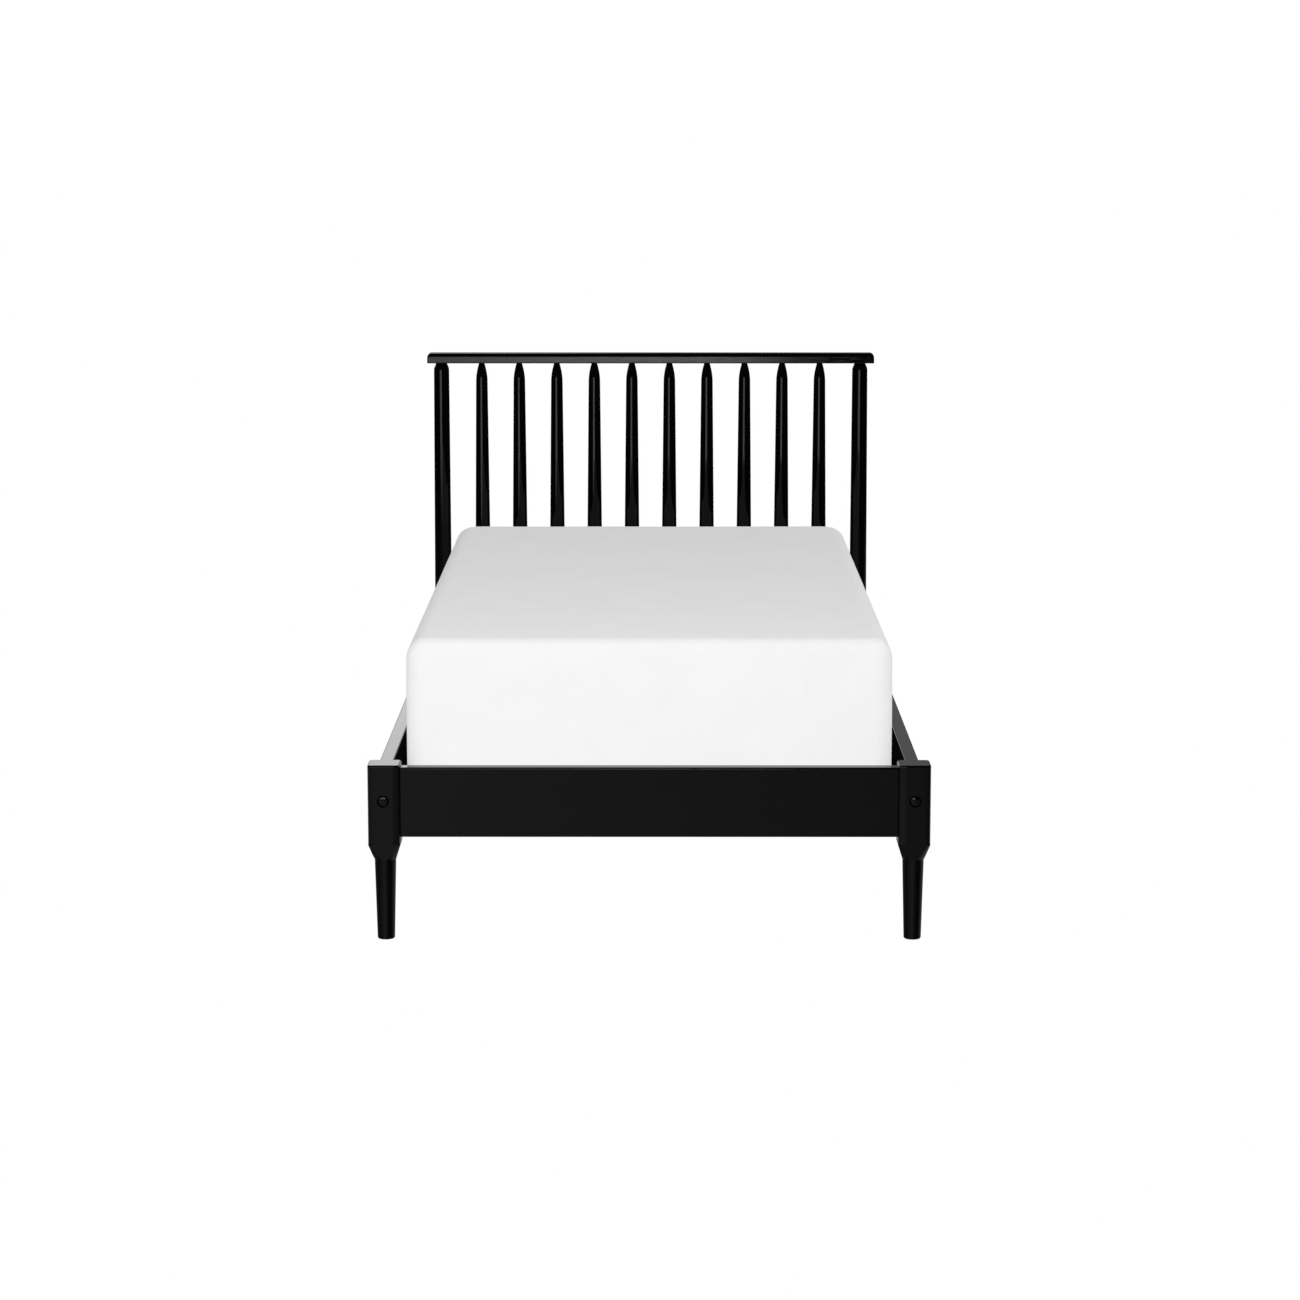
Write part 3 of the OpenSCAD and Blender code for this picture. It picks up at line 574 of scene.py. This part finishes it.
def make_post(name, sx, head, node):
    cx, cy = sx * POST_X, (POST_Y if head else -POST_Y)
    hw, cone = make_profile(head)
    rings = []

    def put(z, inset=0.0, soft=True, at=None):
        q = z if at is None else at
        w = softened(hw, q) if soft else hw(q)
        R = softened(cone, q) if soft else cone(q)
        rings.append(post_ring(cx, cy, z, w, R, inset))

    def around(z0, z1, n):
        for z in arc(z0, z1, n):
            put(z)

    put(1.52, 1.2, soft=False)
    for z in (1.52, 1.7, 1.9, 2.3, 2.7, 4.5):
        put(z, soft=False)
    around(12.0, 152.0, 8)
    around(158.3, 162.7, 8)
    around(165.0, 191.0, 14)
    around(192.4, 196.6, 8)
    around(200.5, 344.5, 10)
    if head:
        around(351.4, 355.6, 8)
        around(357.5, 383.5, 14)
        around(385.3, 389.7, 8)
        around(397.0, 965.0, 18)
        around(971.0, 975.0, 4)
        for z in (976.5, 978.0, 979.8, 981.5, 983.2, 985.0, 986.5, 988.0, 989.5, 991.1):
            put(z, soft=False)
        put(991.3, soft=False)
        put(995.0, soft=False)
        put(995.0, 1.0, soft=False)
    else:
        put(349.3)
        put(350.5)
        for t in arc(0, 90, 5)[1:]:
            c = math.cos(math.radians(t))
            put(350.5 + 3.0 * math.sin(math.radians(t)), 3.0 * (1 - c), at=340.0)
        put(353.5, 4.2, at=340.0)
        put(353.5, 12.0, at=340.0)
    verts, faces = loft(rings)
    ob = make_mesh(name, verts, faces, PAINT["z"], sharp=30.0)

    # the counterbore for the bolt head and its cap, on the outer face
    face_y = cy + (BLOCK if head else -BLOCK)
    s = 1.0 if head else -1.0
    cutter = lathe("counterbore", [(12.95, face_y + s * 1.0), (12.15, face_y), (11.87, face_y - s * 0.2),
                                   (11.75, face_y - s * 0.5), (11.75, face_y - s * 5.0),
                                   (8.2, face_y - s * 5.0), (8.2, face_y - s * 15.0)],
                   PAINT["z"], at=(sx * BOLT_X, BOLT_Z), steps=56, axis="y")
    cut = ob.modifiers.new("counterbore", "BOOLEAN")
    cut.operation, cut.solver, cut.object = "DIFFERENCE", "EXACT", cutter
    dg = bpy.context.evaluated_depsgraph_get()
    result = bpy.data.meshes.new_from_object(ob.evaluated_get(dg))
    ob.modifiers.remove(cut)
    old = ob.data
    ob.data = result
    bpy.data.meshes.remove(old)
    old_cut = cutter.data
    bpy.data.objects.remove(cutter)
    bpy.data.meshes.remove(old_cut)
    result.name = name
    bm = bmesh.new()
    bm.from_mesh(result)
    for e in bm.edges:
        if len(e.link_faces) == 2:
            e.smooth = e.calc_face_angle() < math.radians(30.0)
    bm.to_mesh(result)
    bm.free()
    return painted(ob, node)


make_post("turned_leg_foot_left", -1, False, "footboard_leg_left")
make_post("turned_leg_foot_right", 1, False, "footboard_leg_right")
make_post("turned_post_head_left", -1, True, "headboard_post_left")
make_post("turned_post_head_right", 1, True, "headboard_post_right")


# ---------------------------------------------------------------------------
# Caps over the bolts, with a slight crown
# ---------------------------------------------------------------------------
def make_cap(name, sx, head, node):
    s = 1.0 if head else -1.0
    face_y = s * (POST_Y + BLOCK)
    floor_y = face_y - s * 5.0
    # the skirt flares out to the wall of the counterbore, so that a V groove runs around the crown
    prof = [(10.5, 0.0), (11.25, 0.0), (11.4, 0.15), (11.4, 0.4), (9.35, 2.65)]
    R, apex, edge = 88.0, 4.2, 0.9
    join = 8.4
    end = apex - (R - math.sqrt(R * R - join * join))
    for t in arc(0, 90, 6)[:-1]:
        prof.append((join + edge * math.cos(math.radians(t)), end - edge + edge * math.sin(math.radians(t))))
    for r in (8.4, 7.8, 7.0, 6.1, 5.0, 3.7, 2.4, 1.1, 0.25):
        prof.append((r, apex - (R - math.sqrt(R * R - r * r))))
    ob = lathe(name, [(r, floor_y + s * h) for r, h in prof], PAINT["y"], at=(sx * BOLT_X, BOLT_Z),
               steps=64, axis="y", sharp=50.0)
    return painted(ob, node)


make_cap("crowned_cap_foot_left", -1, False, "bolt_cap_foot_left")
make_cap("crowned_cap_foot_right", 1, False, "bolt_cap_foot_right")
make_cap("crowned_cap_head_left", -1, True, "bolt_cap_head_left")
make_cap("crowned_cap_head_right", 1, True, "bolt_cap_head_right")


# ---------------------------------------------------------------------------
# Spindles
# ---------------------------------------------------------------------------
def spindle_radius(z):
    if z > 944.0:
        return 14.4 - 7.8 * ((z - 944.0) / 47.0) ** 1.9
    if z >= 503.0:
        return 14.4 + 0.01 * (944.0 - z)
    return 18.81 - (18.81 - 6.6) * ((503.0 - z) / 156.0) ** 2.2


for i in range(10):
    x = (i + 1 - 5.5) * 93.6
    heights = [347.0] + arc(349.5, 503.0, 20) + arc(524.0, 922.0, 12) + arc(932.0, 944.0, 3) + arc(945.5, 990.9, 20)
    profile = [(5.0, 341.0), (6.0, 341.05), (6.0, 346.9)]
    profile += [(softened(spindle_radius, z, 3.0) if 352 < z < 985 else spindle_radius(z), z) for z in heights]
    profile += [(6.0, 991.1), (6.0, 995.0), (5.0, 995.05)]
    painted(lathe("turned_spindle_%02d" % (i + 1), profile, PAINT["z"], at=(x, 990.0), steps=48),
            "spindle_%02d" % (i + 1))


# ---------------------------------------------------------------------------
# Crest rail
# ---------------------------------------------------------------------------
def make_crest():
    y0, z0, z1, end_r = 990.0, 991.0, 1016.0, 9.7
    hh = (z1 - z0) / 2
    base = section(22.5, hh, 9.0, 1.5, guard=1.0, seg=6)
    stations = []
    ease = 1.6
    for t in arc(90, 0, 5):
        x = 556.0 - ease + ease * math.sin(math.radians(t))
        stations.append((x, ease * (1 - math.cos(math.radians(t)))))
    for x in (553.0, 551.6, 550.2, 548.8, 547.2, 546.3, 545.0):
        stations.append((x, 0.0))
    right = [(556.0, ease + 1.2)] + stations
    middle = [(x, 0.0) for x in arc(500.0, -500.0, 20)]
    every = right + middle + [(-x, i) for x, i in reversed(right)]
    rings = []
    for x, inset in every:
        t = max(0.0, abs(x) - (556.0 - end_r))
        top = z1 - (end_r - math.sqrt(max(0.0, end_r ** 2 - t ** 2)))
        ring = []
        for u, v in base:
            y = y0 + u * (22.5 - inset) / 22.5
            zz = z0 + (v + hh) * (top - z0) / (2 * hh)
            mid = 0.5 * (z0 + top)
            half = 0.5 * (top - z0)
            zz = mid + (zz - mid) * (half - min(inset, half * 0.6)) / half
            ring.append((x, y, zz))
        rings.append(ring)
    verts, faces = loft(rings)
    return painted(make_mesh("moulded_crest_rail", verts, faces, PAINT["x"]), "crest_rail")


make_crest()

# ---------------------------------------------------------------------------
# Rails
# ---------------------------------------------------------------------------
painted(bar("planed_foot_rail", "x", (-489.5, 489.5), (-994.0, 277.25), (14.0, 69.75), PAINT["x"]), "footboard_rail")
painted(bar("planed_head_rail", "x", (-489.5, 489.5), (990.0, 277.25), (14.0, 69.75), PAINT["x"]),
        "headboard_lower_rail")
painted(bar("planed_side_rail_left", "y", (-958.0, 958.0), (-521.0, 277.25), (14.0, 69.75), PAINT["y"]),
        "side_rail_left")
painted(bar("planed_side_rail_right", "y", (-958.0, 958.0), (521.0, 277.25), (14.0, 69.75), PAINT["y"]),
        "side_rail_right")
# the side rails' inner faces, beside the mattress, have the first coat only
for name, sx in (("planed_side_rail_left", -1.0), ("planed_side_rail_right", 1.0)):
    me = bpy.data.objects[name].data
    me.materials.append(FIRST_COAT)
    for f in me.polygons:
        if sx * f.normal.x < -0.6:
            f.material_index = 1


# the studio fills the shade that the frame would throw on the mattress
for name in (["planed_foot_rail", "planed_head_rail", "planed_side_rail_left", "planed_side_rail_right",
              "turned_leg_foot_left", "turned_leg_foot_right", "crowned_cap_foot_left", "crowned_cap_foot_right",
              "turned_post_head_left", "turned_post_head_right", "moulded_crest_rail"]
             + ["turned_spindle_%02d" % (i + 1) for i in range(10)]):
    bpy.data.objects[name].visible_diffuse = False


# ---------------------------------------------------------------------------
# Mattress: a knit cover drawn over a foam block
# ---------------------------------------------------------------------------
M_HX, M_HY, M_CY = 482.5, 952.5, 5.5
M_Z0, M_Z1 = 281.5, 588.5
# rounded edges: how far they run in, and down
M_HEAD_EDGE, M_FOOT_EDGE = (24.0, 24.0), (24.0, 19.5)
M_HEAD_SIDE, M_FOOT_SIDE = (36.0, 36.0), (36.5, 45.0)
M_HEAD_CORNER, M_FOOT_CORNER = 60.0, 37.0
M_FOOT_RISE = 5.2                    # the foot end stands a little higher than the end that is slept on


def mattress_mesh(shrink=0.0):
    """A closed grid of nearly even cells over a block with rounded edges and corners."""
    nb = 10

    def border(m, corner, run, down):
        """Step m of the border's profile, from the flat to the side: (distance out, drop)."""
        flat = corner - run
        if m < 3:
            return flat * 0.5 * m, 0.0
        a = 0.5 * math.pi * (m - 2) / (nb - 2)
        return flat + run * math.sin(a), down * (1 - math.cos(a))

    nx, ny = 42, 88

    def axis_list(n):
        """Grid lines of one direction: (place from -1 to 1 on the flat, border step)."""
        rows = [(-1.0, -k) for k in range(nb, 0, -1)]
        rows += [(-1.0 + 2.0 * i / n, 0) for i in range(n + 1)]
        rows += [(1.0, k) for k in range(1, nb + 1)]
        return rows

    xs, ys = axis_list(nx), axis_list(ny)
    verts, index, faces = [], {}, []

    def vertex(p):
        key = (round(p[0], 3), round(p[1], 3), round(p[2], 3))
        if key not in index:
            index[key] = len(verts)
            verts.append(p)
        return index[key]

    def lid_point(ix, iy, top):
        (qx, kx), (qy, ky) = xs[ix], ys[iy]
        t = 0.5 + 0.5 * qy
        corner = M_FOOT_CORNER + (M_HEAD_CORNER - M_FOOT_CORNER) * t
        end_run, end_down = M_FOOT_EDGE if ky < 0 else M_HEAD_EDGE
        side_run, side_down = (a + (b - a) * t for a, b in zip(M_FOOT_SIDE, M_HEAD_SIDE))
        m = max(abs(kx), abs(ky))
        length = math.hypot(kx, ky)
        ux, uy = (kx / length, ky / length) if length else (0.0, 0.0)
        side = ux * ux if length else 1.0
        out, drop = border(m, corner, side_run * side + end_run * (1 - side), side_down * side + end_down * (1 - side))
        z = M_Z1 - shrink - drop if top else M_Z0 + drop
        k = 1.0 - shrink / corner
        x = qx * (M_HX - corner)
        y = -(M_HY - M_FOOT_CORNER) * (1 - t) + (M_HY - M_HEAD_CORNER) * t
        return (x + ux * out * k, M_CY + y + uy * out * k, z)

    for top in (True, False):
        grid = [[vertex(lid_point(i, j, top)) for j in range(len(ys))] for i in range(len(xs))]
        for i in range(len(xs) - 1):
            for j in range(len(ys) - 1):
                faces.append((grid[i][j], grid[i + 1][j], grid[i + 1][j + 1], grid[i][j + 1]))

    loop = [(i, 0) for i in range(len(xs) - 1)] + [(len(xs) - 1, j) for j in range(len(ys) - 1)]
    loop += [(i, len(ys) - 1) for i in range(len(xs) - 1, 0, -1)] + [(0, j) for j in range(len(ys) - 1, 0, -1)]
    levels = arc(0.0, 1.0, 11)
    rows = []
    for f in levels:
        row = []
        for ix, iy in loop:
            x, y, zt = lid_point(ix, iy, True)
            _, _, zb = lid_point(ix, iy, False)
            row.append(vertex((x, y, zb + (zt - zb) * f)))
        rows.append(row)
    n = len(loop)
    for a, b in zip(rows, rows[1:]):
        for k in range(n):
            faces.append((a[k], a[(k + 1) % n], b[(k + 1) % n], b[k]))
    return verts, faces


def coords(me):
    co = np.empty(len(me.vertices) * 3)
    me.vertices.foreach_get("co", co)
    return co.reshape(-1, 3)


def swell(ob, frames, pressure, cap):
    """The cover pulled tight over the foam by cloth under pressure; no point moves more than cap (metres)."""
    start = coords(ob.data).copy()
    mod = ob.modifiers.new("cloth", "CLOTH")
    st = mod.settings
    st.quality = 4
    st.mass = 0.35
    st.tension_stiffness = 45.0
    st.compression_stiffness = 45.0
    st.shear_stiffness = 22.0
    st.bending_stiffness = 4.0
    st.air_damping = 1.0
    st.use_pressure = True
    st.uniform_pressure_force = pressure
    st.effector_weights.gravity = 0.0
    mod.collision_settings.use_collision = False
    for f in range(1, frames + 1):
        scene.frame_set(f)
    dg = bpy.context.evaluated_depsgraph_get()
    ev = ob.evaluated_get(dg)
    end = coords(ev.to_mesh()).copy()
    ev.to_mesh_clear()
    ob.modifiers.remove(mod)
    scene.frame_set(1)
    move = end - start
    length = np.linalg.norm(move, axis=1)
    print("cloth move, metres: mean %.4f, max %.4f" % (length.mean(), length.max()))
    scale = np.where(length > 1e-9, cap * np.tanh(length / cap) / np.maximum(length, 1e-9), 0.0)
    end = start + move * scale[:, None]
    ob.data.vertices.foreach_set("co", end.reshape(-1))
    ob.data.update()
    return start


mv, mf = mattress_mesh(shrink=1.0)
mattress = make_mesh("foam_mattress", mv, mf, TICKING, sharp=80.0)
swell(mattress, 14, 4.0, 0.0015)

# the cover ends up at the mattress's nominal size
co = coords(mattress.data) / MM
lo, hi = co.min(axis=0), co.max(axis=0)
for k, (a, b) in enumerate(((-M_HX, M_HX), (M_CY - M_HY, M_CY + M_HY), (M_Z0, M_Z1))):
    co[:, k] = a + (co[:, k] - lo[k]) * (b - a) / (hi[k] - lo[k])
for k in range(len(co)):
    x, y, z = co[k]
    # rests flat on the slats, swells a little less towards the bottom
    side = min(1.0, max(0.0, (z - M_Z0) / 120.0))
    n = noise.noise(Vector((x * 0.0065, y * 0.0065, z * 0.009 + 3.1)))
    n2 = noise.noise(Vector((x * 0.021 + 7.0, y * 0.021, z * 0.024)))
    amp = (0.55 * n + 0.2 * n2) * side
    cx, cy = x / M_HX, (y - M_CY) / M_HY
    out = Vector((cx ** 9 if abs(cx) > 0.8 else 0.0, cy ** 9 if abs(cy) > 0.8 else 0.0,
                  1.0 if z > M_Z1 - 45 else 0.0))
    if out.length > 1e-6:
        out.normalize()
        x, y, z = x + out.x * amp, y + out.y * amp, z + out.z * amp
    if z < M_Z0 + 0.6 or (abs(cx) < 0.9 and abs(cy) < 0.95 and z < M_Z0 + 30):
        z = M_Z0
    z += M_FOOT_RISE * (0.5 - 0.5 * cy) * max(0.0, z - M_Z0) / (M_Z1 - M_Z0)
    co[k] = (x * MM, y * MM, max(z, M_Z0) * MM)
mattress.data.vertices.foreach_set("co", co.reshape(-1))
mattress.data.update()
sub = mattress.modifiers.new("subdivision", "SUBSURF")
sub.levels = sub.render_levels = 1
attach(mattress, "mattress")
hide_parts("mattress_cover", "mattress_foam_core")


# ---------------------------------------------------------------------------
# Floor and studio light
# ---------------------------------------------------------------------------
def make_floor():
    me = bpy.data.meshes.new("floor")
    n = 96
    verts = [(0.0, 0.0, 0.0)]
    faces = []
    for radius in (3.0, 12.0, 60.0, 400.0):
        verts += [(radius * math.cos(2 * math.pi * k / n), radius * math.sin(2 * math.pi * k / n), 0.0) for k in range(n)]
    for k in range(n):
        faces.append((0, 1 + k, 1 + (k + 1) % n))
        for ring in range(3):
            a, b = 1 + ring * n, 1 + (ring + 1) * n
            faces.append((a + k, b + k, b + (k + 1) % n, a + (k + 1) % n))
    me.from_pydata(verts, [], faces)
    ob = bpy.data.objects.new("floor", me)
    scene.collection.objects.link(ob)
    m = bpy.data.materials.new("pale_floor")
    m.use_nodes = True
    m.cycles.emission_sampling = "NONE"
    g = Graph(m.node_tree)
    xyz = g.new("ShaderNodeSeparateXYZ")
    g.plug(g.new("ShaderNodeTexCoord").outputs["Object"], xyz.inputs[0])
    x, y = xyz.outputs["X"], xyz.outputs["Y"]
    # white to the camera; as a light it is brighter in front of the bed and dark under it
    far = g.math("MAXIMUM", g.math("SQRT", g.add(g.mul(x, x), g.mul(y, y))), 0.01)
    light = 0.668
    for az, gain in ((-60.0, 0.132), (0.0, 0.228)):
        a = math.radians(az)
        part = g.math("DIVIDE", g.add(g.mul(x, math.sin(a)), g.mul(y, -math.cos(a))), far)
        light = g.add(light, g.mul(g.math("MAXIMUM", part, 0.0), gain))
    outside = g.math("MAXIMUM", g.smooth(g.math("ABSOLUTE", x), 0.40, 0.50), g.smooth(g.math("ABSOLUTE", y), 0.85, 0.97))
    seen = g.new("ShaderNodeLightPath").outputs["Is Camera Ray"]
    unseen = g.math("SUBTRACT", 1.0, seen)
    white = g.new("ShaderNodeEmission")
    white.inputs["Color"].default_value = (1.0, 1.0, 1.0, 1.0)
    g.plug(g.add(seen, g.mul(unseen, light, outside)), white.inputs["Strength"])
    out = g.new("ShaderNodeOutputMaterial")
    g.tree.links.new(white.outputs[0], out.inputs["Surface"])
    me.materials.append(m)
    ob.visible_glossy = False
    return ob


def make_softbox():
    """A large soft light in front of the bed and above it, seen by matt surfaces only."""
    me = bpy.data.meshes.new("softbox")
    me.from_pydata([(-1.5, -1.0, 0.0), (1.5, -1.0, 0.0), (1.5, 1.0, 0.0), (-1.5, 1.0, 0.0)], [], [(0, 1, 2, 3)])
    ob = bpy.data.objects.new("softbox", me)
    scene.collection.objects.link(ob)
    ob.location = (-0.3, -4.5, 3.2)
    ob.rotation_euler = (Vector((0.0, 0.0, 0.5)) - Vector(ob.location)).to_track_quat("Z", "Y").to_euler()
    m = bpy.data.materials.new("softbox_light")
    m.use_nodes = True
    g = Graph(m.node_tree)
    glow = g.new("ShaderNodeEmission")
    glow.inputs["Color"].default_value = (1.0, 1.0, 1.0, 1.0)
    glow.inputs["Strength"].default_value = 4.9
    out = g.new("ShaderNodeOutputMaterial")
    g.tree.links.new(glow.outputs[0], out.inputs["Surface"])
    me.materials.append(m)
    ob.visible_camera = False
    ob.visible_glossy = False
    ob.visible_shadow = False
    return ob


make_softbox()
make_floor()

world = bpy.data.worlds.new("studio")
scene.world = world
world.use_nodes = True
world.cycles.sampling_method = "NONE"
w = Graph(world.node_tree)
direction = w.new("ShaderNodeTexCoord").outputs["Generated"]
axes = w.new("ShaderNodeSeparateXYZ")
w.plug(direction, axes.inputs[0])
dx, dy, dz = axes.outputs["X"], axes.outputs["Y"], axes.outputs["Z"]
deg = 180.0 / math.pi
el = w.mul(w.math("ARCSINE", dz), deg)
front_az = w.mul(w.math("ARCTAN2", dx, w.mul(dy, -1.0)), deg)      # 0 towards -Y, + towards +X
back_az = w.mul(w.math("ARCTAN2", dx, dy), deg)                    # 0 towards +Y, + towards +X


# what polished surfaces see
low_az = w.new("ShaderNodeSeparateColor")
w.plug(w.ramp(w.math("MULTIPLY_ADD", front_az, 1.0 / 360.0, 0.5),
              [((a + 180.0) / 360.0, (v, v, v)) for a, v in
               ((-180, 0.32), (-160, 0.28), (-145, 0.12), (-134, 0.08), (-111, 0.16), (-94, 0.10), (-78, 0.12), (-65, 0.26), (-52, 0.44),
                (-40, 0.52), (-28, 0.67), (-17, 0.80), (-8, 0.90), (-4, 0.89), (0, 0.69), (4.3, 0.49), (17, 0.42),
                (28, 0.24), (40, 0.06), (52, 0.01), (70, 0.05), (80, 0.15), (94, 0.39), (111, 0.51), (125, 0.50),
                (150, 0.30), (165, 0.30), (180, 0.32))]), low_az.inputs[0])
low = w.mul(w.smooth(el, -6.0, -9.0), w.add(low_az.outputs[0], 0.02))
card = w.mul(w.smooth(el, -6.6, -4.6), w.smooth(el, 7.0, 4.0), w.smooth(front_az, -28.0, -23.0),
             w.smooth(front_az, 2.8, 0.8), w.smooth(front_az, -4.6, -0.4, 0.50, 1.0), 9.2)
upper = w.mul(w.smooth(el, 4.5, 7.0), w.smooth(el, 60.0, 40.0))
left_panel = w.mul(w.smooth(back_az, -56.0, -42.0), w.smooth(back_az, 0.5, -3.5), 1.75)
right_panel = w.mul(w.smooth(back_az, -3.5, 0.5), w.smooth(back_az, 95.0, 60.0), 0.185)
ring = w.mul(upper, w.add(left_panel, right_panel, 0.055))
glossy = w.add(low, card, ring, 0.03)

# what matt surfaces see: wide light from the front and from the right behind, and some from above
matt = w.mul(w.math("MAXIMUM", dz, 0.0), 0.455)
for az, gain in ((-60.0, 0.492), (60.0, 0.100), (110.0, 0.876)):
    a = math.radians(az)
    matt = w.add(matt, w.mul(w.math("MAXIMUM", w.add(w.mul(dx, math.sin(a)), w.mul(dy, -math.cos(a))), 0.0), gain))

path = w.new("ShaderNodeLightPath")
is_cam, is_gloss = path.outputs["Is Camera Ray"], path.outputs["Is Glossy Ray"]
rest = w.add(w.mul(is_gloss, glossy), w.mul(w.math("SUBTRACT", 1.0, is_gloss), matt))
strength = w.add(w.mul(is_cam, 1.06), w.mul(w.math("SUBTRACT", 1.0, is_cam), rest))
background = w.new("ShaderNodeBackground")
background.inputs["Color"].default_value = (1.0, 1.0, 1.0, 1.0)
w.plug(strength, background.inputs["Strength"])
world_out = w.new("ShaderNodeOutputWorld")
w.tree.links.new(background.outputs[0], world_out.inputs["Surface"])
